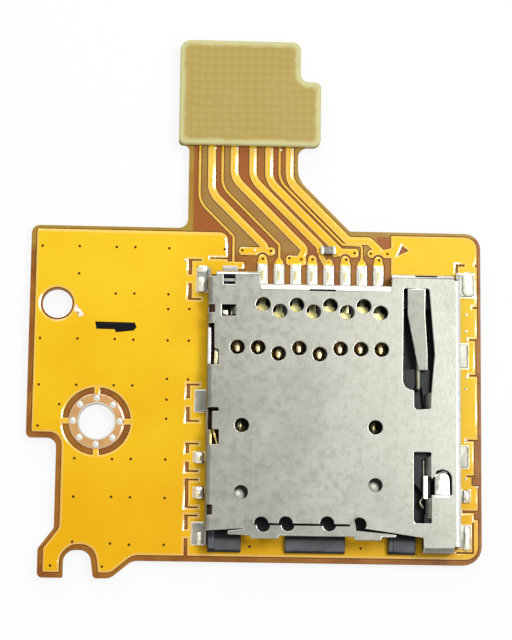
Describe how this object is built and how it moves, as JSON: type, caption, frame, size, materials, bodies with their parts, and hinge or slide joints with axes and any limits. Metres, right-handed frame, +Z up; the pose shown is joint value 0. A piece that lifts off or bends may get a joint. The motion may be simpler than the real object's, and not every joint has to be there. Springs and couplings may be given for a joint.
{
  "type": "memory card socket on a flexible board",
  "caption": "Push-in, push-out memory card socket in a folded steel shell, soldered to an amber flexible circuit board with a stiffened plug tail.",
  "frame": {"origin": "axis of the screw hole at the underside of the board", "axes": "+Z up from the board towards the socket, +Y towards the plug tail, +X to the right"},
  "size_m": [0.0244, 0.0295, 0.0022],
  "materials": {
    "flex_film": "polyimide film, satin",
    "backing": "matte sheet",
    "copper": "copper under amber cover film",
    "stiffener": "woven glass laminate",
    "moulding": "matte moulded",
    "gold": "gold plated",
    "solder": "satin solder",
    "chip": "fired ceramic",
    "steel": "satin rolled sheet",
    "slider": "matte moulded"
  },
  "bodies": {
    "board": {"flex_film": "flex_film", "backing_sheet": "backing", "ground_copper": "copper", "signal_traces": "copper", "tail_stiffener": "stiffener", "plug_housing": "moulding", "plug_contacts": "gold", "plug_hold_downs": "solder", "ring_solder": "solder", "tab_solder": "solder", "tail_solder": "solder", "chip_body": "chip", "chip_end_caps": "solder", "shell": "steel", "insulator": "moulding", "contact_1": "gold", "contact_2": "gold", "contact_3": "gold", "contact_4": "gold", "contact_5": "gold", "contact_6": "gold", "contact_7": "gold", "contact_8": "gold", "detect_spring": "gold", "detect_terminal": "gold", "slider_spring": "steel"},
    "slider": {"slider": "slider", "card_latch": "steel"},
    "cam_pin": {"cam_pin": "steel"}
  },
  "joints": [
    {"name": "slider_slide", "type": "slide", "parent": "board", "child": "slider", "axis": [0, 1, 0], "range_m": [0, 0.0032], "stiffness_N_per_m": 300, "deforming": ["slider_spring"]},
    {"name": "cam_pin_swing", "type": "hinge", "parent": "board", "child": "cam_pin", "pos_m": [0.01714, 0.0069, 0.0013], "axis": [0, 0, 1], "range_deg": [0, 4.1]}
  ],
  "couplings": [
    {"joint": "cam_pin_swing", "follows": "slider_slide", "rad_per_m": 22.114}
  ]
}
